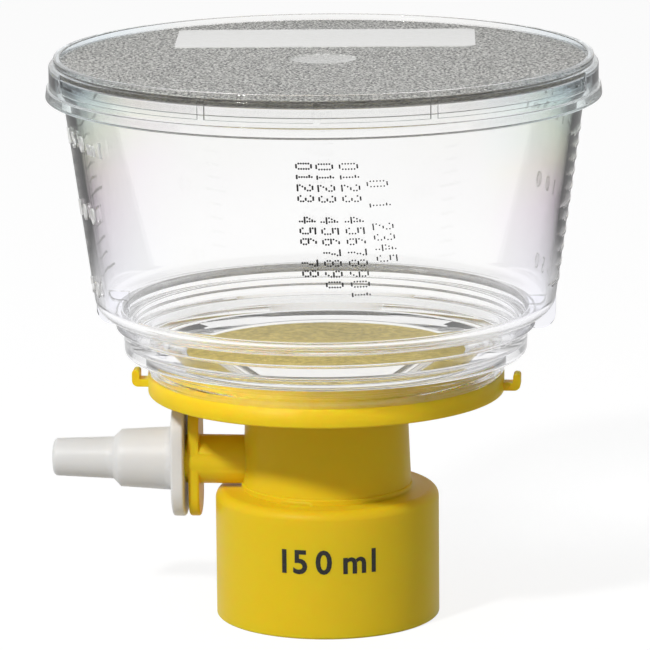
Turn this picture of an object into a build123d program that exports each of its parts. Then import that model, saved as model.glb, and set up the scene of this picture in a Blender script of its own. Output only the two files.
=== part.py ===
"""A bottle-top vacuum filter: a clear lidded bowl fixed to a base that screws onto a bottle.

Millimetres, +Z up. The origin is on the axis, in the plane of the collar's lower rim.
The vacuum arm and its tubing adapter point along -X.
"""
from build123d import *
import os
from math import asin, cos, degrees, radians, sin, tan

os.makedirs("parts", exist_ok=True)

# ---------------------------------------------------------------- driving dimensions
# Collar, which screws onto a 33 mm bottle neck
thread_root_radius = 16.5
collar_wall = 1.7
collar_height = 21.0
collar_roof = 1.8
collar_shoulder_round = 1.6
collar_rim_round = 0.4

# Gasket under the collar's roof
gasket_thickness = 1.5
gasket_width = 3.3
gasket_clearance = 0.1
gasket_seat_step = 0.5

# Neck between collar and flange
neck_foot_radius = 13.7
neck_top_radius = 13.1
neck_height = 16.2
neck_wall = 1.5
neck_bead = 0.25
neck_bead_height = 1.0
neck_bead_round = 0.2

# Flange, hub and funnel floor of the base
flange_radius = 28.9
flange_height = 3.0
flange_round = 0.3
flange_rim_wall = 1.5
flange_core_depth = 1.3
core_fillet_width = 1.4
hub_height = 3.2
hub_wall = 1.65
ledge_width = 1.8
ledge_drop = 0.5
funnel_fall = 3.2
funnel_floor = 2.0

# Drip spout
spout_bore_radius = 3.2
spout_wall = 1.2
spout_taper = 0.3
spout_tip_recess = 0.5

# Hooks under the bowl, one each side of the flange
hook_width = 3.0
hook_standoff = 1.5
hook_thickness = 1.2
hook_height = 2.7
hook_lift = 0.35
hook_heel_round = 1.0
hook_tip_round = 0.5

# Vacuum side arm
arm_rise = 4.35
arm_radius = 4.0
arm_bore_radius = 2.65
arm_reach = 22.95
ear_height = 19.0
ear_round = 0.4
arm_ear_width = 7.6
arm_ear_thickness = 1.8
arm_ear_setback = 0.55

# Tubing adapter, a two-step hose barb
adapter_ear_width = 11.4
adapter_ear_thickness = 2.1
step_two_length = 8.6
step_cone_length = 1.25
step_one_length = 9.9
step_two_root_radius = 5.2
step_two_end_radius = 4.7
step_one_root_radius = 3.45
tip_radius = 3.05
tip_round = 0.8
adapter_bore_radius = 1.9
spigot_length = 5.4
spigot_clearance = 0.05

# Cotton plug in the arm
plug_length = 4.4
plug_clearance = 0.05
plug_gap = 0.2

# Membrane and its support plate
membrane_inset = 0.2
membrane_thickness = 0.2
membrane_grip = 2.4
plate_thickness = 1.7
plate_clearance = 0.2
plate_web = 0.8
plate_rim_width = 2.2
ring_rib_count = 6
ring_rib_width = 0.9
plate_boss_radius = 2.6
drain_slot_count = 10
drain_slot_width = 1.3

# Bowl: levels are rises above the membrane
clamp_rise = 3.5
bowl_depth = 46.7
bowl_wall = 1.4
bowl_draft = 7.91
bowl_rim_bead = 0.4
bowl_rim_bead_height = 1.6
bowl_rim_round = 0.25
shoulder_rise = 9.45
shoulder_width = 3.35
step_edge_rise = 6.65
step_rise = 4.65
step_width = 1.15
step_fillet = 0.5
inner_round = 2.6
shelf_rise = 8.0
shelf_width = 2.7
well_top_rise = 5.6
well_foot_rise = 3.9
well_floor = 1.5
nose_rise = 1.2
nose_width = 1.6
window_land = 0.5
skirt_gap = 2.35
skirt_wall = 1.3
skirt_flare = 0.2
skirt_top_wall = 1.75
skirt_foot_gap = 3.7
skirt_round = 0.8
foot_ring_wall = 1.65
foot_ring_clearance = 0.2
fin_root_inset = 0.5
fin_drop = 0.6
fin_thickness = 1.0
fin_round = 1.5

# Lid
lid_gap = 0.1
lid_plate = 0.9
lid_rim_clearance = 0.2
lid_skirt_wall = 1.0
lid_skirt_height = 3.9
lid_shoulder_fall = 1.15
lid_lip_inset = 0.8
lid_lip_width = 1.0
lid_lip_height = 1.0
lid_band_height = 1.7
lid_band_step = 0.4
lid_band_flare = 0.2
lid_turn = 4.0
grip_window_depth = 0.35
grip_window_lift = 0.8
grip_window_half_angle = 71.0
grip_rib_angle = 24.0
grip_rib_width = 1.3
panel_length = 49.0
panel_width = 18.7
panel_offset = 21.2
panel_height = 0.15
panel_corner = 1.2
dimple_radius = 5.3
dimple_depth = 0.3

# ---------------------------------------------------------------- derived radii and levels
collar_radius = thread_root_radius + collar_wall
gasket_seat_radius = thread_root_radius - gasket_seat_step
roof_level = collar_height - collar_roof
gasket_level = roof_level - gasket_thickness

flange_foot = collar_height + neck_height
flange_top = flange_foot + flange_height
arm_level = collar_height + arm_rise
neck_bore_foot = neck_foot_radius - neck_wall
neck_bore_top = neck_top_radius - neck_wall

clamp_level = flange_top + clamp_rise
membrane_level = clamp_level - membrane_thickness
plate_level = membrane_level - plate_thickness
hub_radius = flange_radius - foot_ring_wall - foot_ring_clearance
plate_seat_radius = hub_radius - hub_wall
plate_radius = plate_seat_radius - plate_clearance
membrane_radius = plate_radius - membrane_inset
funnel_rim_radius = plate_seat_radius - ledge_width
funnel_rim_level = plate_level - ledge_drop
funnel_throat_level = funnel_rim_level - funnel_fall
funnel_underside = funnel_throat_level - funnel_floor
spout_radius = spout_bore_radius + spout_wall
spout_tip = gasket_level + spout_tip_recess

skirt_bore_radius = flange_radius + skirt_gap
skirt_foot_radius = skirt_bore_radius + skirt_wall
skirt_top_radius = skirt_foot_radius + skirt_flare
step_edge_radius = skirt_top_radius + step_width
shoulder_radius = step_edge_radius + shoulder_width
shoulder_level = clamp_level + shoulder_rise
bowl_rim_level = clamp_level + bowl_depth
draft_slope = tan(radians(bowl_draft))

arm_ear_face = arm_reach - arm_ear_setback
adapter_ear_face = arm_reach + adapter_ear_thickness
spigot_end = arm_reach - spigot_length


def bowl_radius(height):
    """Outer radius of the bowl's tapered wall at a height."""
    return shoulder_radius + (height - shoulder_level) * draft_slope


def arm_plane(reach):
    """The plane across the vacuum arm at a distance from the main axis, facing outwards."""
    return Plane(origin=(-reach, 0, arm_level), x_dir=(0, 1, 0), z_dir=(-1, 0, 0))


def meridian(angle):
    """The half-section plane at an angle round the main axis: local x is radius, local y is height."""
    a = radians(angle)
    return Plane(origin=(0, 0, 0), x_dir=(cos(a), sin(a), 0), z_dir=(sin(a), -cos(a), 0))


def corner(section, radius, height):
    """The vertex of a half-section sketch nearest to a radius and a height."""
    return section.vertices().sort_by_distance((radius, height, 0))[0]


def ear_plate(reach, width, thickness):
    """An oval ear plate across the vacuum arm, rounded on both faces, with its outer face at a reach."""
    with BuildPart(mode=Mode.PRIVATE) as plate:
        with BuildSketch(arm_plane(reach)):
            SlotOverall(ear_height, width, rotation=90)
        extrude(amount=-thickness)
        fillet(plate.faces().filter_by(Axis.X).edges(), ear_round)
    return plate.part


# ---------------------------------------------------------------- base: collar, neck, flange, spout, arm
core_outer_radius = flange_radius - flange_rim_wall
core_inner_radius = neck_top_radius + core_fillet_width
core_level = flange_foot + flange_core_depth
bead_radius = neck_foot_radius + neck_bead
bead_level = collar_height + neck_bead_height
hub_level = flange_top + hub_height
hook_foot = flange_foot + hook_lift
hook_inside = flange_radius + hook_standoff
hook_outside = hook_inside + hook_thickness
arm_ear = ear_plate(arm_ear_face, arm_ear_width, arm_ear_thickness)
with BuildPart() as base:
    with BuildSketch(Plane.XZ) as base_section:
        with BuildLine():
            Polyline(
                (thread_root_radius, 0),
                (collar_radius, 0),
                (collar_radius, collar_height),
                (bead_radius, collar_height),
                (bead_radius, bead_level),
                (neck_foot_radius, bead_level),
                (neck_top_radius, flange_foot),
                (core_inner_radius, core_level),
                (core_outer_radius, core_level),
                (core_outer_radius, flange_foot),
                (flange_radius, flange_foot),
                (flange_radius, flange_top),
                (hub_radius, flange_top),
                (hub_radius, hub_level),
                (plate_seat_radius, hub_level),
                (plate_seat_radius, plate_level),
                (funnel_rim_radius, plate_level),
                (funnel_rim_radius, funnel_rim_level),
                (spout_bore_radius, funnel_throat_level),
                (spout_bore_radius, spout_tip),
                (spout_radius - spout_taper, spout_tip),
                (spout_radius, funnel_underside),
                (neck_bore_top, funnel_underside),
                (neck_bore_foot, roof_level),
                (gasket_seat_radius, roof_level),
                (gasket_seat_radius, gasket_level),
                (thread_root_radius, gasket_level),
                close=True,
            )
        make_face()
        fillet(corner(base_section, collar_radius, collar_height), collar_shoulder_round)
        fillet(corner(base_section, collar_radius, 0), collar_rim_round)
        fillet(corner(base_section, flange_radius, flange_foot), flange_round)
        fillet(corner(base_section, bead_radius, bead_level), neck_bead_round)
    revolve(axis=Axis.Z)

    # Side arm, run into the neck's wall, with its ears set back from the end
    with BuildSketch(arm_plane(arm_reach)):
        Circle(arm_radius)
    extrude(amount=-(arm_reach - neck_foot_radius + neck_wall / 2))
    add(arm_ear)
    with BuildSketch(arm_plane(arm_reach)):
        Circle(arm_bore_radius)
    extrude(amount=-(arm_reach - neck_bore_top + neck_wall), mode=Mode.SUBTRACT)

    # A hook each side: an arm out from the flange and a finger standing up
    for side in (0, 180):
        with BuildSketch(meridian(side)) as hook_section:
            with BuildLine():
                Polyline(
                    (core_outer_radius, hook_foot),
                    (hook_outside, hook_foot),
                    (hook_outside, hook_foot + hook_height),
                    (hook_inside, hook_foot + hook_height),
                    (hook_inside, hook_foot + hook_thickness),
                    (core_outer_radius, hook_foot + hook_thickness),
                    close=True,
                )
            make_face()
            fillet(corner(hook_section, hook_outside, hook_foot), hook_heel_round)
            fillet(corner(hook_section, hook_outside, hook_foot + hook_height), hook_tip_round)
            fillet(corner(hook_section, hook_inside, hook_foot + hook_height), hook_tip_round)
        extrude(amount=hook_width / 2, both=True)
base.part.label = "base"
export_step(base.part, "parts/base.step")

# ---------------------------------------------------------------- neck gasket
gasket_radius = gasket_seat_radius - gasket_clearance
with BuildPart() as neck_gasket:
    with BuildSketch(Plane.XY.offset(gasket_level)):
        Circle(gasket_radius)
        Circle(gasket_radius - gasket_width, mode=Mode.SUBTRACT)
    extrude(amount=gasket_thickness)
neck_gasket.part.label = "neck_gasket"
export_step(neck_gasket.part, "parts/neck_gasket.step")

# ---------------------------------------------------------------- support plate
plate_open_radius = plate_radius - plate_rim_width
rib_pitch = (plate_open_radius - plate_boss_radius) / (ring_rib_count + 1)
with BuildPart() as support_plate:
    with BuildSketch(Plane.XY.offset(plate_level)):
        Circle(plate_radius)
    extrude(amount=plate_thickness)
    # Ring grooves leave a rim, ring ribs and a centre boss standing to carry the membrane
    with BuildSketch(Plane.XY.offset(plate_level + plate_web)):
        Circle(plate_open_radius)
        for ring in range(ring_rib_count, 0, -1):
            rib_radius = plate_boss_radius + ring * rib_pitch
            Circle(rib_radius + ring_rib_width / 2, mode=Mode.SUBTRACT)
            Circle(rib_radius - ring_rib_width / 2)
        Circle(plate_boss_radius, mode=Mode.SUBTRACT)
    extrude(amount=plate_thickness - plate_web, mode=Mode.SUBTRACT)
    # Radial slots cut the ribs and the web, so that every groove drains
    with BuildSketch(Plane.XY.offset(plate_level)):
        with PolarLocations((plate_boss_radius + plate_open_radius) / 2, drain_slot_count):
            SlotOverall(plate_open_radius - plate_boss_radius, drain_slot_width)
    extrude(amount=plate_thickness, mode=Mode.SUBTRACT)
support_plate.part.label = "support_plate"
export_step(support_plate.part, "parts/support_plate.step")

# ---------------------------------------------------------------- membrane
with BuildPart() as membrane:
    with BuildSketch(Plane.XY.offset(membrane_level)):
        Circle(membrane_radius)
    extrude(amount=membrane_thickness)
membrane.part.label = "membrane"
export_step(membrane.part, "parts/membrane.step")

# ---------------------------------------------------------------- bowl
rim_radius = bowl_radius(bowl_rim_level)
rim_bead_radius = rim_radius + bowl_rim_bead
rim_bead_level = bowl_rim_level - bowl_rim_bead_height
step_level = clamp_level + step_rise
step_edge_level = clamp_level + step_edge_rise
skirt_foot = flange_top + skirt_foot_gap
ring_bore_radius = flange_radius - foot_ring_wall

window_radius = membrane_radius - membrane_grip
nose_radius = window_radius + nose_width
nose_level = clamp_level + nose_rise
well_radius = skirt_top_radius - skirt_top_wall
well_foot = clamp_level + well_foot_rise
well_top = clamp_level + well_top_rise
shelf_radius = well_radius + shelf_width
shelf_level = clamp_level + shelf_rise

# The floor outside follows the well's sloping floor inside
well_slope = (well_foot - nose_level) / (well_radius - nose_radius)
floor_level = well_foot - well_floor
floor_ring_level = floor_level - well_slope * (skirt_bore_radius - flange_radius)

# The shelf's slope runs on until it meets the inside of the tapered wall
shelf_slope = (shelf_level - well_top) / shelf_width
wall_bore_radius = bowl_radius(shelf_level) - bowl_wall
wall_foot_rise = (wall_bore_radius - shelf_radius) * shelf_slope / (1 - shelf_slope * draft_slope)
wall_foot = shelf_level + wall_foot_rise
wall_foot_radius = bowl_radius(wall_foot) - bowl_wall
with BuildPart() as bowl:
    with BuildSketch(Plane.XZ) as bowl_section:
        with BuildLine():
            outside = Polyline(
                (rim_radius - bowl_wall, bowl_rim_level),
                (rim_bead_radius, bowl_rim_level),
                (rim_bead_radius, rim_bead_level),
                (bowl_radius(rim_bead_level), rim_bead_level),
                (shoulder_radius, shoulder_level),
            )
            TangentArc(outside @ 1, (step_edge_radius, step_edge_level), tangent=(-draft_slope, -1))
            Polyline(
                (step_edge_radius, step_edge_level),
                (step_edge_radius, step_level),
                (skirt_top_radius, step_level),
                (skirt_foot_radius, skirt_foot),
                (skirt_bore_radius, skirt_foot),
                (skirt_bore_radius, floor_level),
                (flange_radius, floor_ring_level),
                (flange_radius, flange_top),
                (ring_bore_radius, flange_top),
                (ring_bore_radius, clamp_level),
                (window_radius, clamp_level),
                (window_radius, clamp_level + window_land),
                (nose_radius, nose_level),
                (well_radius, well_foot),
                (well_radius, well_top),
                (wall_foot_radius, wall_foot),
                (rim_radius - bowl_wall, bowl_rim_level),
            )
        make_face()
        fillet(corner(bowl_section, skirt_top_radius, step_level), step_fillet)
        fillet(corner(bowl_section, skirt_foot_radius, skirt_foot), skirt_round)
        fillet(corner(bowl_section, rim_bead_radius, bowl_rim_level), bowl_rim_round)
        fillet(corner(bowl_section, rim_bead_radius, rim_bead_level), bowl_rim_round)
        fillet(corner(bowl_section, wall_foot_radius, wall_foot), inner_round)
    revolve(axis=Axis.Z)

    # A thin fin each side carries the wall's line down past the shoulder
    fin_root = skirt_top_radius - fin_root_inset
    fin_foot = step_level - fin_drop
    for side in (0, 180):
        with BuildSketch(meridian(side)) as fin_section:
            with BuildLine():
                Polyline(
                    (fin_root, fin_foot),
                    (shoulder_radius, fin_foot),
                    (shoulder_radius, shoulder_level),
                    (wall_foot_radius, wall_foot),
                    (fin_root, step_level),
                    close=True,
                )
            make_face()
            fillet(corner(fin_section, shoulder_radius, fin_foot), fin_round)
        extrude(amount=fin_thickness / 2, both=True)
bowl.part.label = "bowl"
export_step(bowl.part, "parts/bowl.step")

# ---------------------------------------------------------------- lid
lid_underside = bowl_rim_level + lid_gap
lid_top = lid_underside + lid_plate
lid_bore_radius = rim_bead_radius + lid_rim_clearance
lid_radius = lid_bore_radius + lid_skirt_wall
lip_radius = lid_radius - lid_lip_inset
lip_bore_radius = lip_radius - lid_lip_width
band_top_radius = lid_radius + lid_band_step
band_foot_radius = band_top_radius + lid_band_flare
band_top = lid_top - lid_skirt_height
band_foot = band_top - lid_band_height
with BuildPart() as lid:
    with BuildSketch(Plane.XZ) as lid_section:
        with BuildLine():
            skirt = Polyline(
                (0, lid_underside),
                (lid_bore_radius, lid_underside),
                (lid_bore_radius, band_foot),
                (band_foot_radius, band_foot),
                (band_top_radius, band_top),
                (lid_radius, band_top),
                (lid_radius, lid_top - lid_shoulder_fall),
            )
            TangentArc(skirt @ 1, (lip_radius, lid_top), tangent=(0, 1))
            Polyline(
                (lip_radius, lid_top),
                (lip_radius, lid_top + lid_lip_height),
                (lip_bore_radius, lid_top + lid_lip_height),
                (lip_bore_radius, lid_top),
                (0, lid_top),
                (0, lid_underside),
            )
        make_face()
    revolve(axis=Axis.Z)

    # Shallow grip windows in the skirt, front and back, with upright ribs left between them
    grip_floor_radius = lid_radius - grip_window_depth
    grip_foot = band_top + grip_window_lift
    grip_height = lid_skirt_height - grip_window_lift
    rib_half_angle = degrees(asin(grip_rib_width / 2 / lid_radius))
    inner_sweep = grip_rib_angle - 2 * rib_half_angle
    outer_sweep = grip_window_half_angle - grip_rib_angle - rib_half_angle
    window_spans = [
        (-grip_window_half_angle, outer_sweep),
        (-grip_rib_angle + rib_half_angle, inner_sweep),
        (rib_half_angle, inner_sweep),
        (grip_rib_angle + rib_half_angle, outer_sweep),
    ]
    for middle in (lid_turn - 90, lid_turn + 90):
        for start, sweep_angle in window_spans:
            with BuildSketch(meridian(middle + start)):
                with Locations((grip_floor_radius, grip_foot)):
                    Rectangle(lid_lip_inset, grip_height, align=(Align.MIN, Align.MIN))
            revolve(axis=Axis.Z, revolution_arc=sweep_angle, mode=Mode.SUBTRACT)

    # Plain raised panel behind the centre, and the moulding gate's dimple
    with BuildSketch(Plane.XY.offset(lid_top).rotated((0, 0, lid_turn))):
        with Locations((0, panel_offset)):
            RectangleRounded(panel_length, panel_width, panel_corner)
    extrude(amount=panel_height)
    with BuildSketch(Plane.XZ):
        with BuildLine():
            Polyline((0, lid_top - dimple_depth), (dimple_radius, lid_top), (0, lid_top), close=True)
        make_face()
    revolve(axis=Axis.Z, mode=Mode.SUBTRACT)
lid.part.label = "lid"
export_step(lid.part, "parts/lid.step")

# ---------------------------------------------------------------- tubing adapter
step_two_end = adapter_ear_face + step_two_length
step_one_root = step_two_end + step_cone_length
adapter_tip = step_one_root + step_one_length
spigot_radius = arm_bore_radius - spigot_clearance
adapter_ear = ear_plate(adapter_ear_face, adapter_ear_width, adapter_ear_thickness)
with BuildPart() as tubing_adapter:
    # Half-section with the distance from the main axis as local x and the radius as local y
    with BuildSketch(Plane(origin=(0, 0, arm_level), x_dir=(-1, 0, 0), z_dir=(0, 1, 0))) as adapter_section:
        with BuildLine():
            Polyline(
                (spigot_end, 0),
                (spigot_end, spigot_radius),
                (arm_reach, spigot_radius),
                (arm_reach, step_two_root_radius),
                (adapter_ear_face, step_two_root_radius),
                (step_two_end, step_two_end_radius),
                (step_one_root, step_one_root_radius),
                (adapter_tip, tip_radius),
                (adapter_tip, 0),
                close=True,
            )
        make_face()
        fillet(corner(adapter_section, adapter_tip, tip_radius), tip_round)
    revolve(axis=Axis((0, 0, arm_level), (-1, 0, 0)))
    add(adapter_ear)
    with BuildSketch(arm_plane(adapter_tip)):
        Circle(adapter_bore_radius)
    extrude(amount=-(adapter_tip - spigot_end), mode=Mode.SUBTRACT)
tubing_adapter.part.label = "tubing_adapter"
export_step(tubing_adapter.part, "parts/tubing_adapter.step")

# ---------------------------------------------------------------- cotton plug
with BuildPart() as port_plug:
    with BuildSketch(arm_plane(spigot_end - plug_gap)):
        Circle(arm_bore_radius - plug_clearance)
    extrude(amount=-plug_length)
port_plug.part.label = "port_plug"
export_step(port_plug.part, "parts/port_plug.step")
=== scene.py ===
# %% [markdown]
# # A bottle-top vacuum filter
# The real unit is eight pieces. Four mouldings show: a clear bowl, a clear lid with a frosted top, a yellow
# base that screws onto a bottle, and a white hose adapter. A membrane on its support plate, a gasket and a
# cotton plug sit inside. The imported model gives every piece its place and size, so nothing is fitted here.
# Blender adds the finish: turned shells with rounded edges, raised graduations, a thread and materials.

# %% Load the frame
from math import atan2, cos, degrees, pi, radians, sin, tan, tau

import bmesh
import bpy
from mathutils import Matrix, Vector


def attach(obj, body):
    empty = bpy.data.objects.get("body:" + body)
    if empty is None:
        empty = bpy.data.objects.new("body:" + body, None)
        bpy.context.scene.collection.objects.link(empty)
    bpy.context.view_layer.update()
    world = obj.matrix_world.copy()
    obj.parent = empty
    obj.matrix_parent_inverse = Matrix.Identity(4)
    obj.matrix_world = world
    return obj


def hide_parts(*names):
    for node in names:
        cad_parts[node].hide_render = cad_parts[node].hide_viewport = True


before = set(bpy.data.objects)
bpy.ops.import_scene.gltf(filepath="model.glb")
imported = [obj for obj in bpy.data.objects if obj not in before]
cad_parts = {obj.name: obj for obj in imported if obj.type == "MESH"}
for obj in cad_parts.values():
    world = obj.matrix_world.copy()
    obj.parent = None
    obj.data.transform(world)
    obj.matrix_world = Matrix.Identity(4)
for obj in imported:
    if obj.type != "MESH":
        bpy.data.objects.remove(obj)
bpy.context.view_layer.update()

mm = 0.001

# %% [markdown]
# ## The camera first
# A long lens from 0.8 m away, a little above the lid, is how a catalogue picture flattens such a piece. A
# short lens close by would frame it as well, but it would swell the rim that is nearest to it. The camera
# looks at the axis, and stands turned by five degrees so that the arm runs slightly away from it.

# %% Camera
camera_distance = 0.800
camera_height = 0.2158
camera_turn = radians(5.2)
camera_pitch = radians(11.86)
camera_roll = radians(-0.51)
camera_lens_mm = 279.6
camera_side_step = 0.00013

camera_data = bpy.data.cameras.new("catalogue_camera")
camera_data.lens = camera_lens_mm
camera_data.sensor_width = 36.0
camera = bpy.data.objects.new("catalogue_camera", camera_data)
bpy.context.scene.collection.objects.link(camera)
step_back = Matrix.Translation((-camera_side_step, -camera_distance, camera_height))
aim = Matrix.Rotation(pi / 2 - camera_pitch, 4, "X") @ Matrix.Rotation(camera_roll, 4, "Z")
camera.matrix_world = Matrix.Rotation(camera_turn, 4, "Z") @ step_back @ aim
bpy.context.scene.camera = camera
print("camera at", [round(v, 3) for v in camera.matrix_world.translation])

# %% [markdown]
# ## Turned shells
# Nearly everything here is a body of revolution. A Screw modifier could turn a drawn profile, and a bevel
# afterwards could soften it, but a bevel would have to guess which ring gets which round. So a half-section
# is a list of corners, each with a radius, a height and its own round, and bmesh spins it. Real mouldings
# have no dead-sharp corner, and on clear plastic it is those small rounds that draw bright and dark lines.

# %% Round the corners of a half-section
small_round_mm = 1.0
longest_reach = 0.48
degrees_per_facet = 12
fewest_facets = 3


def rounded(outline, closed):
    """Corners (radius, height, round) in mm as a list of 2-D points in metres, with each round an arc."""
    points = []
    count = len(outline)
    for index, (radius, height, fillet) in enumerate(outline):
        here = Vector((radius, height)) * mm
        at_end = not closed and index in (0, count - 1)
        if fillet == 0 or at_end:
            points.append(here)
            continue
        before = Vector(outline[index - 1][:2]) * mm - here
        after = Vector(outline[(index + 1) % count][:2]) * mm - here
        half = before.angle(after) / 2
        reach = fillet * mm / tan(half)
        if fillet < small_round_mm:
            # A small round shrinks where its neighbours are close, so that two of them never cross
            reach = min(reach, longest_reach * min(before.length, after.length))
        start = here + before.normalized() * reach
        end = here + after.normalized() * reach
        centre = here + (before.normalized() + after.normalized()).normalized() * reach / cos(half)
        arm_start = start - centre
        arm_end = end - centre
        sweep = arm_start.angle(arm_end)
        facets = max(fewest_facets, round(degrees(sweep) / degrees_per_facet))
        for step in range(facets + 1):
            share = step / facets
            blend = arm_start * sin((1 - share) * sweep) + arm_end * sin(share * sweep)
            points.append(centre + blend / sin(sweep))
    return points


# %% Spin a half-section about the axis
weld = 1e-6


def turned(outline, steps, closed=True):
    """A bmesh of the half-section spun once round Z."""
    bm = bmesh.new()
    corners = [bm.verts.new((point.x, 0, point.y)) for point in rounded(outline, closed)]
    for first, second in zip(corners, corners[1:]):
        bm.edges.new((first, second))
    if closed:
        bm.edges.new((corners[-1], corners[0]))
    bmesh.ops.spin(bm, geom=bm.verts[:] + bm.edges[:], cent=(0, 0, 0), axis=(0, 0, 1), dvec=(0, 0, 0),
                   angle=tau, steps=steps, use_merge=True, use_normal_flip=False, use_duplicate=False)
    bmesh.ops.remove_doubles(bm, verts=bm.verts, dist=weld)
    bmesh.ops.recalc_face_normals(bm, faces=bm.faces)
    return bm


# %% Turn a bmesh into a finished piece
def piece(name, bm, materials, body, crease=35):
    """A named object that rides on a body, smooth shaded up to the crease angle."""
    mesh = bpy.data.meshes.new(name)
    bm.to_mesh(mesh)
    bm.free()
    for material in materials:
        mesh.materials.append(material)
    mesh.shade_smooth()
    mesh.set_sharp_from_angle(angle=radians(crease))
    shown = bpy.data.objects.new(name, mesh)
    bpy.context.scene.collection.objects.link(shown)
    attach(shown, body)
    print(f"{name}: {len(mesh.polygons)} faces")
    return shown


def even_shading(shown):
    """Large flat faces keep their own normals, so that only the rounds bend the light."""
    weighted = shown.modifiers.new("weighted_normals", "WEIGHTED_NORMAL")
    weighted.keep_sharp = True
    weighted.weight = 50


# %% [markdown]
# ## Joining shapes, and taking over the model's pieces
# Two clear shapes that only overlap would show the wall of one inside the other. The exact Boolean joins
# them into one skin. The model's own pieces come as loose triangles, each with its own corners, so a copy is
# welded before it is shaded, and the piece itself stays as it is.

# %% Fuse one bmesh into another
def fused(body_bm, extra_bm, materials):
    """The exact union of two closed bmeshes, as a new bmesh that keeps their material numbers."""
    shapes = []
    for bm in (body_bm, extra_bm):
        mesh = bpy.data.meshes.new("fusing")
        bm.to_mesh(mesh)
        bm.free()
        for material in materials:
            mesh.materials.append(material)
        shapes.append(bpy.data.objects.new("fusing", mesh))
        bpy.context.scene.collection.objects.link(shapes[-1])
    union = shapes[0].modifiers.new("union", "BOOLEAN")
    union.operation = "UNION"
    union.solver = "EXACT"
    union.object = shapes[1]
    bpy.context.view_layer.update()
    joined = bpy.data.meshes.new_from_object(shapes[0].evaluated_get(bpy.context.evaluated_depsgraph_get()))
    result = bmesh.new()
    result.from_mesh(joined)
    for shape in shapes:
        bpy.data.meshes.remove(shape.data)
    bpy.data.meshes.remove(joined)
    return result


# %% A merged copy of a CAD node
cad_weld = 2e-6


def merged_copy(name, node, material, body):
    """The node's own form, its loose triangles joined, so that its round faces shade smoothly."""
    bm = bmesh.new()
    bm.from_mesh(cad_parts[node].data)
    bmesh.ops.remove_doubles(bm, verts=bm.verts, dist=cad_weld)
    shown = piece(name, bm, [material], body, crease=28)
    even_shading(shown)
    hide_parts(node)


# %% [markdown]
# ## Materials
# Each finish is a small node tree on the Principled shader. A picture of the grain would need unwrapping and
# would blur close by. Noise on object coordinates needs neither and stays sharp. Those coordinates are in
# metres, so a grain of 0.3 mm is a noise scale of about 3000.

# %% Node helpers
def new_material(name):
    """An empty material and its tree, with a Principled shader wired to the output."""
    material = bpy.data.materials.new(name)
    material.use_nodes = True
    tree = material.node_tree
    return material, tree, tree.nodes["Principled BSDF"]


def add_node(tree, kind, **settings):
    """A node with its properties and input values set by name."""
    node = tree.nodes.new(kind)
    for key, value in settings.items():
        if hasattr(node, key):
            setattr(node, key, value)
        else:
            node.inputs[key.replace("_", " ")].default_value = value
    return node


def add_math(tree, operation, first, second=0.0):
    """A Math node over two outputs or plain numbers."""
    node = add_node(tree, "ShaderNodeMath", operation=operation)
    for socket, value in zip(node.inputs, (first, second)):
        if isinstance(value, (int, float)):
            socket.default_value = value
        else:
            tree.links.new(value, socket)
    return node.outputs[0]


def rising(tree, source, start, end):
    """A value that goes from 0 to 1 while the source goes from start to end, and stays there."""
    node = add_node(tree, "ShaderNodeMapRange", From_Min=start, From_Max=end)
    tree.links.new(source, node.inputs["Value"])
    return node.outputs["Result"]


# %% Grain, ramps and bump
def noise(tree, scale, detail=2.0, roughness=0.5):
    """Noise on object coordinates, at a scale per metre."""
    place = add_node(tree, "ShaderNodeTexCoord")
    texture = add_node(tree, "ShaderNodeTexNoise", Scale=scale, Detail=detail, Roughness=roughness)
    tree.links.new(place.outputs["Object"], texture.inputs["Vector"])
    return texture.outputs["Fac"]


def ramp(tree, source, stops):
    """A colour ramp over a value, from (position, colour) pairs."""
    node = tree.nodes.new("ShaderNodeValToRGB")
    while len(node.color_ramp.elements) < len(stops):
        node.color_ramp.elements.new(0.5)
    for element, (position, colour) in zip(node.color_ramp.elements, stops):
        element.position = position
        element.color = (*colour, 1)
    tree.links.new(source, node.inputs["Fac"])
    return node.outputs["Color"]


def bump(tree, height, shader, strength, distance):
    """Bump from a height output into the shader's normal."""
    node = add_node(tree, "ShaderNodeBump", Strength=strength, Distance=distance)
    tree.links.new(height, node.inputs["Height"])
    tree.links.new(node.outputs["Normal"], shader.inputs["Normal"])


# %% Light through clear plastic
def let_lamps_through(tree, shader, share):
    """Shadow rays lose only a share of their light: glass would otherwise cast a solid shadow."""
    path = add_node(tree, "ShaderNodeLightPath")
    passed = add_node(tree, "ShaderNodeBsdfTransparent", Color=(share, share, share, 1))
    mix = add_node(tree, "ShaderNodeMixShader")
    tree.links.new(path.outputs["Is Shadow Ray"], mix.inputs[0])
    tree.links.new(shader.outputs[0], mix.inputs[1])
    tree.links.new(passed.outputs[0], mix.inputs[2])
    tree.links.new(mix.outputs[0], tree.nodes["Material Output"].inputs["Surface"])


# %% [markdown]
# ## Clear polystyrene
# Real clear walls show only where light is bent or turned back inside them, at rims and silhouettes. A grey
# tint would show the form too, but it would dull the whole wall. So the plastic stays almost colourless,
# with polystyrene's high index, and a faint cloudiness stands for flow lines in the moulding. The dark lines
# come from the surroundings, further down. Moulding also leaves stress in the walls, and polarised light
# shows it as pale bands of colour. Here those colours are painted into the plastic as a sheen, a tint that
# grows towards the left and right sides and changes with height.

# %% Painted sheen of moulding stress at the sides
painted_sheen_starts = 0.026
painted_sheen_full = 0.038
painted_sheen_foot = 0.055
painted_sheen_top = 0.090
violet = (0.95, 0.95, 1.0)
rose = (1.0, 0.93, 0.98)
straw = (1.0, 1.0, 0.89)
mint = (0.92, 1.0, 0.95)
sky = (0.90, 0.96, 1.0)
painted_sheen_bands = [(0.0, violet), (0.45, rose), (0.65, straw), (0.78, mint), (1.0, sky)]


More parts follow.
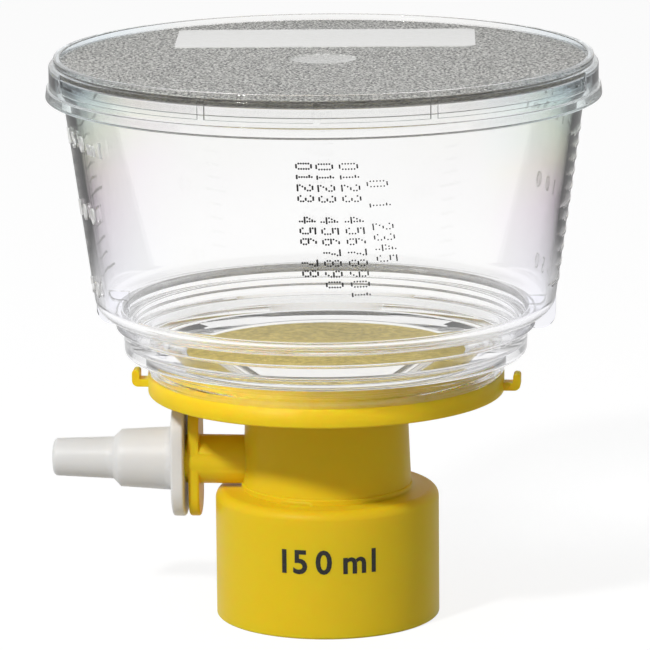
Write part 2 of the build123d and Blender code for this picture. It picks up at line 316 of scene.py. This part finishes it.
def painted_stress_sheen(tree, colour):
    """Paint pale bands of colour, stacked by height, into the plastic towards its two sides, as a painted
    sheen.
    """
    place = add_node(tree, "ShaderNodeTexCoord")
    parts = add_node(tree, "ShaderNodeSeparateXYZ")
    tree.links.new(place.outputs["Object"], parts.inputs[0])
    near_side = rising(tree, add_math(tree, "ABSOLUTE", parts.outputs["X"]), painted_sheen_starts, painted_sheen_full)
    bands = ramp(tree, rising(tree, parts.outputs["Z"], painted_sheen_foot, painted_sheen_top), painted_sheen_bands)
    mix = add_node(tree, "ShaderNodeMix", data_type="RGBA")
    tree.links.new(near_side, mix.inputs["Factor"])
    tree.links.new(colour, mix.inputs["A"])
    tree.links.new(bands, mix.inputs["B"])
    return mix.outputs["Result"]


# %% Clear finishes
polystyrene_ior = 1.58


def clear_plastic(name, clearest, cloudiest):
    """Clear moulded plastic with faint flow lines and a painted coloured sheen at its sides."""
    material, tree, shader = new_material(name)
    shader.inputs["Transmission Weight"].default_value = 1.0
    shader.inputs["IOR"].default_value = polystyrene_ior
    shader.inputs["Roughness"].default_value = 0.0
    colour = ramp(tree, noise(tree, 45.0, detail=3.0), [(0.3, cloudiest), (0.7, clearest)])
    # The base colour carries a painted sheen of stress colours at the two sides.
    tree.links.new(painted_stress_sheen(tree, colour), shader.inputs["Base Color"])
    let_lamps_through(tree, shader, 0.75)
    return material


clear_bowl = clear_plastic("clear_bowl", (1.0, 1.0, 0.999), (0.996, 0.996, 0.993))
clear_lid = clear_plastic("clear_lid", (0.995, 0.995, 0.985), (0.98, 0.98, 0.97))
print("clear finishes:", clear_bowl.name, clear_lid.name)

# %% Satin relief of the graduations
matte_relief, tree, shader = new_material("matte_relief")
shader.inputs["Transmission Weight"].default_value = 0.45
shader.inputs["IOR"].default_value = polystyrene_ior
shader.inputs["Roughness"].default_value = 0.4
shader.inputs["Base Color"].default_value = (0.93, 0.93, 0.92, 1)
let_lamps_through(tree, shader, 0.7)
print("relief finish:", matte_relief.name)

# %% [markdown]
# ## The frosted lid top
# The mould's face for the lid is etched, so the moulding comes out grey and grainy there. Rough glass would
# only blur what lies under it, and the real top hides it. So this finish is opaque, and one fine noise
# drives colour and bump together, because on the real texture they are one thing. Its colour jumps from
# near-black to pale grey, so the grain also carries painted glints, the sparkle the etched face throws back.
# The mark at the moulding gate is the same recipe, paler and smoother, and its paler grey is a painted
# highlight. The panel is the same recipe with a paler, softer grain.

# %% Frosted finishes
def frosted(name, dark, light, roughness, grain, contrast):
    """Etched clear plastic: pale grey, fine grained and opaque, its grain's hard contrast painting glints."""
    material, tree, shader = new_material(name)
    grain_and_glints = noise(tree, grain, detail=4.0, roughness=0.8)
    # The ramp's hard contrast paints glints into the grain.
    colour = ramp(tree, grain_and_glints, [(0.5 - contrast, dark), (0.5 + contrast, light)])
    tree.links.new(colour, shader.inputs["Base Color"])
    shader.inputs["Roughness"].default_value = roughness
    bump(tree, grain_and_glints, shader, 0.5, 0.0001)
    let_lamps_through(tree, shader, 0.8)
    return material


frosted_lid = frosted("frosted_lid", (0.03, 0.029, 0.025), (0.84, 0.835, 0.80), 0.45, 2300.0, 0.03)
# The gate mark's paler grey is a painted highlight on its smoother face.
gate_mark_painted_highlight = frosted("gate_mark_painted_highlight", (0.50, 0.50, 0.48), (0.90, 0.90, 0.88), 0.35, 1800.0, 0.05)
lid_panel_finish = frosted("lid_panel_finish", (0.92, 0.92, 0.895), (0.96, 0.96, 0.945), 0.25, 700.0, 0.15)
print("frosted finishes:", frosted_lid.name, gate_mark_painted_highlight.name, lid_panel_finish.name)

# %% [markdown]
# ## Opaque plastics
# The yellow base glows a little under its skin, so shaded places turn amber. A darker paint in the corners
# would fake that from one side only. Low subsurface scattering with a long red radius does it from all
# sides, and a faint mottle and orange-peel bump keep the surface from looking drawn.

# %% Moulded plastic
def moulded(name, colour, shade, roughness, gloss, glow, glow_radius, glow_depth):
    """Satin moulded plastic with a faint mottle and orange peel."""
    material, tree, shader = new_material(name)
    tint = ramp(tree, noise(tree, 60.0, detail=4.0, roughness=0.6), [(0.3, shade), (0.7, colour)])
    tree.links.new(tint, shader.inputs["Base Color"])
    shader.inputs["Roughness"].default_value = roughness
    shader.inputs["Specular IOR Level"].default_value = gloss
    shader.inputs["Subsurface Weight"].default_value = glow
    shader.inputs["Subsurface Radius"].default_value = glow_radius
    shader.inputs["Subsurface Scale"].default_value = glow_depth
    bump(tree, noise(tree, 1400.0), shader, 0.25, 0.00003)
    return material


yellow_plastic = moulded(
    "yellow_plastic", (0.89, 0.62, 0.022), (0.87, 0.60, 0.016), roughness=0.42, gloss=0.12,
    glow=0.5, glow_radius=(1.0, 0.2, 0.02), glow_depth=0.003)
white_plastic = moulded(
    "white_plastic", (0.81, 0.805, 0.79), (0.79, 0.782, 0.765), roughness=0.42, gloss=0.4,
    glow=0.25, glow_radius=(1.0, 0.9, 0.8), glow_depth=0.002)
print("moulded finishes:", yellow_plastic.name, white_plastic.name)

# %% [markdown]
# ## Matte finishes
# The gasket, the cotton, the membrane and the ink have no gloss to speak of. What tells them apart is the
# size and the depth of their grain, so one recipe with two colours and a grain makes all four.

# %% Soft, fibrous and inked finishes
def grained(name, dark, light, roughness, grain, relief):
    """A matte finish whose colour and bump follow one fine grain."""
    material, tree, shader = new_material(name)
    texture = noise(tree, grain, detail=4.0, roughness=0.7)
    tree.links.new(ramp(tree, texture, [(0.35, dark), (0.65, light)]), shader.inputs["Base Color"])
    shader.inputs["Roughness"].default_value = roughness
    bump(tree, texture, shader, 0.5, relief)
    return material


gasket_rubber = grained("gasket_rubber", (0.60, 0.58, 0.52), (0.68, 0.66, 0.60), 0.8, 900.0, 0.00005)
cotton_fibre = grained("cotton_fibre", (0.70, 0.69, 0.66), (0.88, 0.87, 0.85), 0.95, 2400.0, 0.0003)
# The membrane itself is white: its amber yellow is painted light from the yellow support plate under it.
membrane_painted_plate_light = grained("membrane_painted_plate_light", (0.56, 0.41, 0.04), (0.96, 0.76, 0.18), 0.5, 900.0, 0.00008)
black_ink = grained("black_ink", (0.006, 0.005, 0.005), (0.03, 0.028, 0.027), 0.85, 2600.0, 0.00001)
print("matte finishes:", gasket_rubber.name, cotton_fibre.name, membrane_painted_plate_light.name, black_ink.name)

# %% [markdown]
# ## The bowl
# The bowl is one clear moulding: a tapered cup whose foot steps in twice, then hangs a skirt and a ring that
# sits on the base. A merged copy of the model would show its facets, because clear plastic magnifies them.
# So the bowl is turned again here from one half-section, with the rounds that the mould leaves. The inside
# follows the outside at an even wall, as a mould does: a thick spot would act as a lens.

# %% Bowl sizes, in mm
rim_level = 90.4
rim_radius = 42.43
rim_lip = 0.4
rim_lip_foot = rim_level - 1.6
wall = 1.4
draft = radians(7.91)
shoulder_level = 50.23
shoulder_round = 3.1
step_edge = (33.9, 50.35)
step_level = 48.35
skirt_top = 32.75
skirt_foot = (32.55, 43.9)
hem_radius = 31.25
hem_roof_level = 46.1
ring_radius = 28.9
groove_radius = 28.4
ring_bore = 27.25
flange_top = 40.2
clamp_level = 43.7
window_radius = 22.6
well_foot_radius = 24.2
well_radius = 31.0
inner_step_radius = 32.5
inner_step_level = 49.75
shelf_level = 51.75


def wall_radius(level):
    """Outer radius of the tapered wall at a level, in mm."""
    return rim_radius - (rim_level - level) * tan(draft)


# %% Bowl half-section
bowl_outline = [
    # the rim with its small lip, down the tapered wall to the shoulder and the step under it
    (rim_radius - wall, rim_level, 0.25),
    (rim_radius + rim_lip, rim_level, 0.25),
    (rim_radius + rim_lip, rim_lip_foot, 0.25),
    (wall_radius(rim_lip_foot), rim_lip_foot, 0.15),
    (wall_radius(shoulder_level), shoulder_level, shoulder_round),
    (*step_edge, 0.12),
    (step_edge[0], step_level, 0.15),
    # the skirt and its hem
    (skirt_top, step_level, 0.5),
    (*skirt_foot, 0.8),
    (hem_radius, skirt_foot[1], 0.2),
    (hem_radius, hem_roof_level, 0.3),
    # the ring that sits on the base, with its groove and chamfered edge
    (ring_radius, 45.17, 0.2),
    (ring_radius, 42.6, 0.15),
    (groove_radius, 42.3, 0.15),
    (groove_radius, 41.8, 0.15),
    (ring_radius, 41.5, 0.15),
    (ring_radius, 40.85, 0.15),
    (28.3, flange_top, 0.15),
    (ring_bore, flange_top, 0.15),
    (ring_bore, clamp_level, 0.15),
    # the lip that clamps the membrane, and the inside up to the wall
    (window_radius, clamp_level, 0.1),
    (window_radius, clamp_level + 0.5, 0.15),
    (well_foot_radius, clamp_level + 1.2, 0.3),
    (well_radius, 47.6, 0.8),
    (well_radius, inner_step_level, 0.4),
    (inner_step_radius, inner_step_level, 0.4),
    (inner_step_radius, shelf_level, 0.6),
    (wall_radius(shelf_level) - wall, shelf_level, 1.6),
]
bowl_bm = turned(bowl_outline, steps=256)
print("bowl spun:", len(bowl_bm.faces), "faces")

# %% [markdown]
# ## What stands on the bowl's outside
# Two thin fins under the shoulder line the bowl up with the base. Each side has a scale in relief: a short
# bar for every 10 ml, a long one at 50, 100 and 150, and figures beside the long ones. Shrinkwrap could lay
# them on the wall, but a short formula bends them just as well: a flat x becomes an angle, and z a radius.
# They start a little inside the wall, so that the union has something to bite.

# %% Bend a flat shape onto the wall
def on_wall(bm, middle_angle, level, sink):
    """Move a flat bmesh (mm, x along the wall, y up it, z outwards) onto the tapered wall."""
    for vertex in bm.verts:
        along, up, out = vertex.co
        height = level + up * cos(draft)
        radius = wall_radius(height) + out - sink
        angle = radians(middle_angle) + along / wall_radius(level)
        vertex.co = Vector((radius * cos(angle), radius * sin(angle), height)) * mm
    return bm


def take_in(target, source):
    """Add one bmesh to another and free it."""
    carrier = bpy.data.meshes.new("carrier")
    source.to_mesh(carrier)
    source.free()
    target.from_mesh(carrier)
    bpy.data.meshes.remove(carrier)


def new_verts(result):
    """The vertices among what an extrusion made."""
    return [v for v in result["geom"] if isinstance(v, bmesh.types.BMVert)]


# %% A bar of the scale
bar_relief = 0.14
bar_width = 0.45
sink = 0.3


def bar(length):
    """A flat raised bar in mm from x = 0 to -length, in short steps so that it can bend."""
    bm = bmesh.new()
    bmesh.ops.create_grid(bm, x_segments=12, y_segments=1, size=0.5)
    bmesh.ops.scale(bm, vec=(length, bar_width, 1), verts=bm.verts)
    bmesh.ops.translate(bm, vec=(-length / 2, 0, 0), verts=bm.verts)
    raised = bmesh.ops.extrude_face_region(bm, geom=bm.faces[:])
    bmesh.ops.translate(bm, vec=(0, 0, bar_relief + sink), verts=new_verts(raised))
    bmesh.ops.recalc_face_normals(bm, faces=bm.faces)
    return bm


# %% A raised or printed character
half_cap = 0.36
character_weld_mm = 1e-4


def figure(character, size, thickness, boldness=0.0):
    """One character in mm, from z = 0 up, centred on x and on half its cap height."""
    text = bpy.data.curves.new("figure", "FONT")
    text.body = character
    text.size = size
    text.align_x = "CENTER"
    text.extrude = thickness / 2
    text.resolution_u = 4
    text.offset = boldness
    holder = bpy.data.objects.new("figure", text)
    bpy.context.scene.collection.objects.link(holder)
    bpy.context.view_layer.update()
    mesh = bpy.data.meshes.new_from_object(holder.evaluated_get(bpy.context.evaluated_depsgraph_get()))
    bpy.data.objects.remove(holder)
    bpy.data.curves.remove(text)
    bm = bmesh.new()
    bm.from_mesh(mesh)
    bpy.data.meshes.remove(mesh)
    bmesh.ops.remove_doubles(bm, verts=bm.verts, dist=character_weld_mm)
    bmesh.ops.translate(bm, vec=(0, -half_cap * size, thickness / 2), verts=bm.verts)
    return bm


# %% Levels and labels of the scale
level_50 = 56.1
lower_step = 2.55
upper_step = 2.33
level_100 = level_50 + 5 * lower_step
levels = [level_50 + lower_step * count for count in range(5)]
levels += [level_100 + upper_step * count for count in range(6)]
labels = {0: "50", 5: "100", 10: "150ml"}
long_bar, long_bar_start = 12.0, 187.2
short_bar, short_bar_start = 7.2, 184.4
figures_start = -165.5
figure_size = 3.8
figure_relief = 0.3
figure_gap = 4.4
narrower_gaps = {"m": 3.9, "l": 3.2}
print("graduations at", [round(level, 1) for level in levels], "mm")

# %% Both scales
raised_bm = bmesh.new()
for turn in (0, 180):
    for index, level in enumerate(levels):
        length, start = (long_bar, long_bar_start) if index in labels else (short_bar, short_bar_start)
        take_in(raised_bm, on_wall(bar(length), start + turn, level, sink))
        along = 0.0
        for position, character in enumerate(labels.get(index, "")):
            if position:
                along += narrower_gaps.get(character, figure_gap)
            letter = figure(character, figure_size, figure_relief + sink)
            bmesh.ops.translate(letter, vec=(along, 0, 0), verts=letter.verts)
            take_in(raised_bm, on_wall(letter, figures_start + turn, level, sink))
for face in raised_bm.faces:
    face.material_index = 1
print("scale bars and figures:", len(raised_bm.faces), "faces")

# %% Fins under the shoulder
fin_outline = [(32.25, 47.75), (35.75, 47.75), (37.25, 49.25), (37.25, 53.15), (32.25, 53.15)]
fin_thickness = 1.0
fin_round = 0.9


def across_fin(edge):
    """Does this edge run across the fin's thickness, at one of the two corners at its outer foot?"""
    for x, z in fin_outline[1:3]:
        if all(abs(abs(v.co.x) - x * mm) < weld and abs(v.co.z - z * mm) < weld for v in edge.verts):
            return True
    return False


for side in (1, -1):
    fin = bmesh.new()
    corners = [fin.verts.new((side * x * mm, -fin_thickness / 2 * mm, z * mm)) for x, z in fin_outline]
    swept = bmesh.ops.extrude_face_region(fin, geom=[fin.faces.new(corners)])
    bmesh.ops.translate(fin, vec=(0, fin_thickness * mm, 0), verts=new_verts(swept))
    bmesh.ops.bevel(fin, geom=[edge for edge in fin.edges if across_fin(edge)], offset=fin_round * mm,
                    offset_type="OFFSET", affect="EDGES", segments=4, profile=0.5, material=-1)
    bmesh.ops.recalc_face_normals(fin, faces=fin.faces)
    take_in(raised_bm, fin)
print("with two fins:", len(raised_bm.faces), "faces")

# %% Fuse them and finish the bowl
bowl_finishes = [clear_bowl, matte_relief]
whole_bowl_bm = fused(bowl_bm, raised_bm, bowl_finishes)
bowl_shell = piece("bowl_shell", whole_bowl_bm, bowl_finishes, "root")
even_shading(bowl_shell)
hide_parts("bowl")

# %% [markdown]
# ## The printed digits
# A date-and-lot printer leaves columns of dot-matrix characters on such bowls. Here they are only counting
# digits. A text object would have strokes instead of dots, so each digit is a grid of five by seven, with a
# small disc for each dot. The columns read downwards and lean a little, as a print on a cone does.

# %% Dot-matrix digits
dot_rows = {
    "0": ".###. #...# #...# #...# #...# #...# .###.",
    "1": "..#.. .##.. ..#.. ..#.. ..#.. ..#.. .###.",
    "2": ".###. #...# ....# ..##. .#... #.... #####",
    "3": ".###. #...# ....# ..##. ....# #...# .###.",
    "4": "...#. ..##. .#.#. #..#. ##### ...#. ...#.",
    "5": "##### #.... ####. ....# ....# #...# .###.",
    "6": "..##. .#... #.... ####. #...# #...# .###.",
    "7": "##### ....# ...#. ...#. ..#.. ..#.. ..#..",
    "8": ".###. #...# #...# .###. #...# #...# .###.",
    "9": ".###. #...# #...# .#### ....# ...#. .##..",
}
last_row = 6
last_column = 4
digit_pitch = 1.72
digit_width = 0.85
ink_height = 0.02


def dots_of(digit, tall):
    """Where a digit's dots lie: how far along its column and how far across it, in mm."""
    for row, dots in enumerate(dot_rows[digit].split()):
        for column, mark in enumerate(dots):
            if mark == "#":
                yield (column / last_column - 0.5) * digit_width, (0.5 - row / last_row) * tall


# %% Print the columns
# Each column has its start angle and level, its drift in degrees per mm, the digits' height and the dots'
# radius in mm, and the digits themselves.
print_columns = [
    (-89.25, 81.2, 0.063, 2.3, 0.17, "0123 456 78"),
    (-84.85, 81.1, 0.115, 2.45, 0.16, "0123 4567890"),
    (-79.70, 81.1, 0.155, 2.7, 0.145, "0123 45678901"),
    (-73.40, 78.2, 0.225, 3.1, 0.13, "0 1 2345"),
]
print_bm = bmesh.new()
for start_angle, start_level, drift, tall, dot_radius, digits in print_columns:
    for index, digit in enumerate(digits):
        if digit == " ":
            continue
        down = index * digit_pitch
        for fall, across in dots_of(digit, tall):
            dot = bmesh.new()
            bmesh.ops.create_circle(dot, cap_ends=True, segments=8, radius=dot_radius)
            bmesh.ops.translate(dot, vec=(across, 0, 0), verts=dot.verts)
            angle = start_angle + drift * (down + fall)
            take_in(print_bm, on_wall(dot, angle, start_level - down - fall, -ink_height))
piece("lot_print", print_bm, [black_ink], "root")

# %% [markdown]
# ## The lid
# The lid is a shallow clear cap with a raised lip, a skirt with grip windows, and a thicker band at its foot.
# Its section is open at both ends, where it meets the axis. The windows could be cut by Booleans, but they
# all share one depth. So the skirt's faces between the upright ribs are pressed in, front and back.

# %% Lid half-section, in mm
lid_top = 91.4
lid_underside = 90.5
lid_bore = 43.03
lip_height = 1.0
lip_radius = 43.23
lip_bore = 42.23
lid_radius = 44.03
lid_edge_level = 91.1
band_top = 87.5
band_foot = 85.8
band_top_radius = 44.43
band_foot_radius = 44.63
window_foot = 88.3
window_top = 89.9
gate_mark_radius = 5.3
gate_mark_slope = 0.4
gate_mark_depth = 0.35
lid_outline = [
    (0, lid_underside, 0),
    (lid_bore, lid_underside, 0.3),
    (lid_bore, band_foot, 0.2),
    (band_foot_radius, band_foot, 0.25),
    (band_top_radius, band_top, 0.2),
    (lid_radius, band_top, 0.12),
    (lid_radius, window_foot, 0),
    (lid_radius, window_top, 0),
    (lid_radius, lid_edge_level, 0.9),
    (lip_radius, lid_top, 0.1),
    (lip_radius, lid_top + lip_height, 0.25),
    (lip_bore, lid_top + lip_height, 0.25),
    (lip_bore, lid_top, 0.1),
    (gate_mark_radius, lid_top, 0.1),
    (gate_mark_radius - gate_mark_slope, lid_top - 0.2, 0.1),
    (0, lid_top - gate_mark_depth, 0),
]
lid_bm = turned(lid_outline, steps=480, closed=False)
print("lid half-section spun:", len(lid_bm.faces), "faces")

# %% Find the grip windows in the skirt
lid_turn = 4.0
window_depth = 0.35
rib_half_angle = 0.85
outer_rib = 24
window_end = 71
window_spans = [
    (-window_end, -outer_rib - rib_half_angle),
    (-outer_rib + rib_half_angle, -rib_half_angle),
    (rib_half_angle, outer_rib - rib_half_angle),
    (outer_rib + rib_half_angle, window_end),
]


def in_window(face):
    """Which grip window is this skirt face in, if any?"""
    centre = face.calc_center_median() / mm
    if centre.z < window_foot or centre.xy.length < lid_radius - window_depth:
        return None
    for side in (-90, 90):
        turn = (degrees(atan2(centre.y, centre.x)) - side - lid_turn + 180) % 360 - 180
        for index, (start, end) in enumerate(window_spans):
            if start < turn < end:
                return side, index
    return None


windows = {}
for face in lid_bm.faces:
    window = in_window(face)
    if window:
        windows.setdefault(window, []).append(face)
print("grip windows:", {window: len(faces) for window, faces in windows.items()})

# %% Press them in
for faces in windows.values():
    pressed = bmesh.ops.extrude_face_region(lid_bm, geom=faces)
    bmesh.ops.delete(lid_bm, geom=[face for face in faces if face.is_valid], context="FACES_ONLY")
    for vertex in new_verts(pressed):
        radius = vertex.co.xy.length
        vertex.co.xy *= min(radius, (lid_radius - window_depth) * mm) / radius
bmesh.ops.remove_doubles(lid_bm, verts=lid_bm.verts, dist=weld)
bmesh.ops.recalc_face_normals(lid_bm, faces=lid_bm.faces)
print("with windows:", len(lid_bm.faces), "faces")

# %% Frost the top and finish the lid
etched_depth = 0.4
clear_border = 0.05
for face in lid_bm.faces:
    centre = face.calc_center_median() / mm
    if centre.z > lid_top - etched_depth and centre.xy.length < lip_bore - clear_border:
        face.material_index = 2 if centre.xy.length < gate_mark_radius else 1
lid_shell = piece("lid_shell", lid_bm, [clear_lid, frosted_lid, gate_mark_painted_highlight], "lid")
even_shading(lid_shell)
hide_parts("lid")

# %% [markdown]
# ## The plain panel on the lid
# Behind the gate mark the lid has a raised, smoother rectangle, where such lids carry their words. It stays
# plain here. It is a thin plate of its own just over the frost: fusing it would gain nothing, because
# neither it nor what it covers can be seen through.

# %% Panel
panel_length = 49.0
panel_width = 18.7
panel_height = 0.15
panel_corner = 1.2
panel_offset = 21.2
panel_lift = 0.005
nearly_half = 0.499


def at_corner(edge):
    """Is this one of the plate's four upright edges?"""
    first, second = (vertex.co for vertex in edge.verts)
    at_end = abs(first.x) > panel_length * mm * nearly_half
    at_side = abs(first.y) > panel_width * mm * nearly_half
    return at_end and at_side and abs(first.z - second.z) > weld


panel_bm = bmesh.new()
bmesh.ops.create_grid(panel_bm, x_segments=24, y_segments=10, size=0.5)
bmesh.ops.scale(panel_bm, vec=(panel_length * mm, panel_width * mm, 1), verts=panel_bm.verts)
lifted = bmesh.ops.extrude_face_region(panel_bm, geom=panel_bm.faces[:])
bmesh.ops.translate(panel_bm, vec=(0, 0, panel_height * mm), verts=new_verts(lifted))
bmesh.ops.bevel(panel_bm, geom=[edge for edge in panel_bm.edges if at_corner(edge)], offset=panel_corner * mm,
                offset_type="OFFSET", affect="EDGES", segments=6, profile=0.5, material=-1)
panel_place = Matrix.Translation((0, panel_offset * mm, (lid_top + panel_lift) * mm))
bmesh.ops.transform(panel_bm, matrix=Matrix.Rotation(radians(lid_turn), 4, "Z") @ panel_place,
                    verts=panel_bm.verts)
bmesh.ops.recalc_face_normals(panel_bm, faces=panel_bm.faces)
piece("lid_panel", panel_bm, [lid_panel_finish], "lid")

# %% [markdown]
# ## The base, adapter and inner pieces
# These are opaque, and their form is already true in the model. Modelling them again could only make them
# disagree with it, so merged copies of them take their finish here.

# %% Opaque pieces
opaque_pieces = [
    ("base_shell", "base", yellow_plastic, "root", "yellow_plastic"),
    ("adapter_shell", "tubing_adapter", white_plastic, "adapter", "white_plastic"),
    ("plate_shell", "support_plate", yellow_plastic, "root", "yellow_plastic"),
    ("membrane_shell", "membrane", membrane_painted_plate_light, "root", "membrane_white"),
    ("neck_gasket_shell", "neck_gasket", gasket_rubber, "root", "gasket_rubber"),
    ("port_plug_shell", "port_plug", cotton_fibre, "root", "cotton"),
]
for name, node, material, body, slot in opaque_pieces:
    merged_copy(name, node, material, body)

# %% [markdown]
# ## The capacity on the collar
# One line of plain black print gives the volume in the place where such units carry their print. It is made
# of the same characters as the raised figures, only thin as ink and bent round a straight collar.

# %% Capacity
collar_radius = 18.2
print_gap = 0.015
print_middle = -85.0
print_level = 12.9
letter_size = 5.4
letter_boldness = 0.12
letter_places = (-7.1, -4.4, -0.6, 4.4, 7.6)
capacity_bm = bmesh.new()
for character, place in zip("150ml", letter_places):
    letter = figure(character, letter_size, ink_height, letter_boldness)
    for vertex in letter.verts:
        along, up, out = vertex.co
        turn = radians(print_middle) + (place + along) / collar_radius
        radius = collar_radius + print_gap + out
        vertex.co = Vector((radius * cos(turn), radius * sin(turn), print_level + up)) * mm
    take_in(capacity_bm, letter)
piece("capacity_print", capacity_bm, [black_ink], "root")

# %% [markdown]
# ## The thread in the collar
# The collar screws onto a bottle, so its bore carries a right-handed thread. A Screw modifier could make it.
# The spin operator does the same in one call, with dvec raising each step. The tooth starts a little inside
# the wall, so that no gap shows at its root.

# %% Thread
thread_root = 16.5
thread_crest = 15.4
thread_sink = 0.1
tooth_half_foot = 1.1
tooth_half_crest = 0.35
thread_pitch = 4.2
thread_turns = 2.6
thread_start = 3.0
thread_steps = round(thread_turns * 72)
tooth = [
    (thread_root + thread_sink, -tooth_half_foot),
    (thread_crest, -tooth_half_crest),
    (thread_crest, tooth_half_crest),
    (thread_root + thread_sink, tooth_half_foot),
]
thread_bm = bmesh.new()
tooth_verts = [thread_bm.verts.new((x * mm, 0, (thread_start + z) * mm)) for x, z in tooth]
bmesh.ops.spin(thread_bm, geom=[thread_bm.faces.new(tooth_verts)], cent=(0, 0, 0), axis=(0, 0, 1),
               dvec=(0, 0, thread_pitch * thread_turns * mm / thread_steps), angle=tau * thread_turns,
               steps=thread_steps, use_merge=False, use_normal_flip=False, use_duplicate=False)
bmesh.ops.remove_doubles(thread_bm, verts=thread_bm.verts, dist=weld)
bmesh.ops.recalc_face_normals(thread_bm, faces=thread_bm.faces)
piece("collar_thread", thread_bm, [yellow_plastic], "root")

# %% [markdown]
# ## Floor, world and lamp
# A pale floor and an even surround give the picture its plain ground, and straight through the clear plastic
# the eye meets that white. Clear walls draw their edges with what they turn back, inside them or off their
# skin, and a studio stands dark flags around and over glass for that. Real black cards would darken the
# yellow plastic and the ground as well. So the flags here are only a dimming of the far floor and of the
# world overhead, which acts on turned-back rays alone. The Light Path node tells them apart: their Glossy
# Depth is one or more. That draws the silhouettes from every side.

# %% Floor mesh
floor_half_side = 3.0
floor_bm = bmesh.new()
bmesh.ops.create_grid(floor_bm, x_segments=1, y_segments=1, size=floor_half_side)
floor_mesh = bpy.data.meshes.new("floor")
floor_bm.to_mesh(floor_mesh)
floor_bm.free()
floor = bpy.data.objects.new("floor", floor_mesh)
bpy.context.scene.collection.objects.link(floor)
print("floor side in m:", 2 * floor_half_side)

# %% Rays that the flags dim
# Of the light from a flag, this much is left when the plastic turned it back inside, or when its skin did.
flag_level = 0.02
sheen_level = 0.4


def seen_and_dimmed(tree):
    """Is this ray one that the eye sees, and how much would the flags take from it?"""
    path = add_node(tree, "ShaderNodeLightPath")
    seen = add_math(tree, "MAXIMUM", path.outputs["Is Camera Ray"], path.outputs["Is Transmission Ray"])
    seen = add_math(tree, "MAXIMUM", seen, path.outputs["Is Glossy Ray"])
    scattered = add_math(tree, "MINIMUM", path.outputs["Diffuse Depth"], 1.0)
    seen = add_math(tree, "MULTIPLY", seen, add_math(tree, "SUBTRACT", 1.0, scattered))
    turned_back = add_math(tree, "MINIMUM", path.outputs["Glossy Depth"], 1.0)
    extra = add_math(tree, "MULTIPLY", path.outputs["Is Transmission Ray"], sheen_level - flag_level)
    return seen, add_math(tree, "MULTIPLY", turned_back, add_math(tree, "ADD", extra, 1.0 - sheen_level))


# %% Floor finish
# The floor lights the piece as a plain grey. For the eye it glows nearly white and keeps a soft shadow.
plain_albedo = 0.55
seen_albedo = 0.22
seen_glow = 0.86
floor_flag_starts = 0.19
floor_flag_full = 0.27

floor_finish, tree, shader = new_material("floor_finish")
shader.inputs["Roughness"].default_value = 1.0
shader.inputs["Specular IOR Level"].default_value = 0.0
shader.inputs["Emission Color"].default_value = (1, 1, 1, 1)
seen, dimming = seen_and_dimmed(tree)
place = add_node(tree, "ShaderNodeTexCoord")
reach = add_node(tree, "ShaderNodeVectorMath", operation="LENGTH")
tree.links.new(place.outputs["Object"], reach.inputs[0])
far = rising(tree, reach.outputs["Value"], floor_flag_starts, floor_flag_full)
left = add_math(tree, "SUBTRACT", 1.0, add_math(tree, "MULTIPLY", dimming, far))
eye_gets = add_math(tree, "MULTIPLY", seen, left)
paler = add_math(tree, "MULTIPLY", seen, plain_albedo - seen_albedo)
albedo = add_math(tree, "MULTIPLY", add_math(tree, "SUBTRACT", plain_albedo, paler), left)
grey = add_node(tree, "ShaderNodeCombineColor")
for channel in ("Red", "Green", "Blue"):
    tree.links.new(albedo, grey.inputs[channel])
tree.links.new(grey.outputs[0], shader.inputs["Base Color"])
tree.links.new(add_math(tree, "MULTIPLY", eye_gets, seen_glow), shader.inputs["Emission Strength"])
floor_mesh.materials.append(floor_finish)
print("floor finish:", floor_finish.name)

# %% World
ambient = 0.34
overhead_flag_starts = 0.4
overhead_flag_full = 0.6

world = bpy.data.worlds.new("studio")
world.use_nodes = True
bpy.context.scene.world = world
tree = world.node_tree
background = tree.nodes["Background"]
background.inputs["Color"].default_value = (1, 1, 1, 1)
seen, dimming = seen_and_dimmed(tree)
direction = add_node(tree, "ShaderNodeTexCoord")
parts = add_node(tree, "ShaderNodeSeparateXYZ")
tree.links.new(direction.outputs["Generated"], parts.inputs[0])
overhead = rising(tree, parts.outputs["Z"], overhead_flag_starts, overhead_flag_full)
lift = add_math(tree, "SUBTRACT", 1.0 - ambient, add_math(tree, "MULTIPLY", dimming, overhead))
strength = add_math(tree, "ADD", ambient, add_math(tree, "MULTIPLY", seen, lift))
tree.links.new(strength, background.inputs["Strength"])
print("world strength on the piece:", ambient)

# %% Key lamp
lamp_turn = radians(-122.8)
lamp_rise = radians(38.0)
lamp_distance = 1.2
lamp_side = 0.10
lamp_watts = 8.9

lamp_data = bpy.data.lights.new("key_lamp", "AREA")
lamp_data.energy = lamp_watts
lamp_data.size = lamp_side
lamp = bpy.data.objects.new("key_lamp", lamp_data)
bpy.context.scene.collection.objects.link(lamp)
middle = Vector((0, 0, 0.05))
flat_reach = lamp_distance * cos(lamp_rise)
lamp_height = lamp_distance * sin(lamp_rise)
lamp_arm = Vector((flat_reach * cos(lamp_turn), flat_reach * sin(lamp_turn), lamp_height))
lamp.location = middle + lamp_arm
lamp.rotation_euler = lamp_arm.to_track_quat("Z", "Y").to_euler()
bpy.context.scene.view_settings.view_transform = "Standard"
print("key lamp at", [round(v, 2) for v in lamp.location])

# %% [markdown]
# ## Enough bounces for clear plastic
# Light that enters a clear wall is often turned back ten times before it gets out again. With the usual
# twelve bounces it would be lost there, and the foot of the bowl would go black. More bounces cost a little
# time and mend that, where a brighter world would only wash out the rest.

# %% Bounces
clear_bounces = 48
paths = bpy.context.scene.cycles
paths.max_bounces = clear_bounces
paths.glossy_bounces = clear_bounces
paths.transmission_bounces = clear_bounces
print("bounces:", paths.max_bounces)
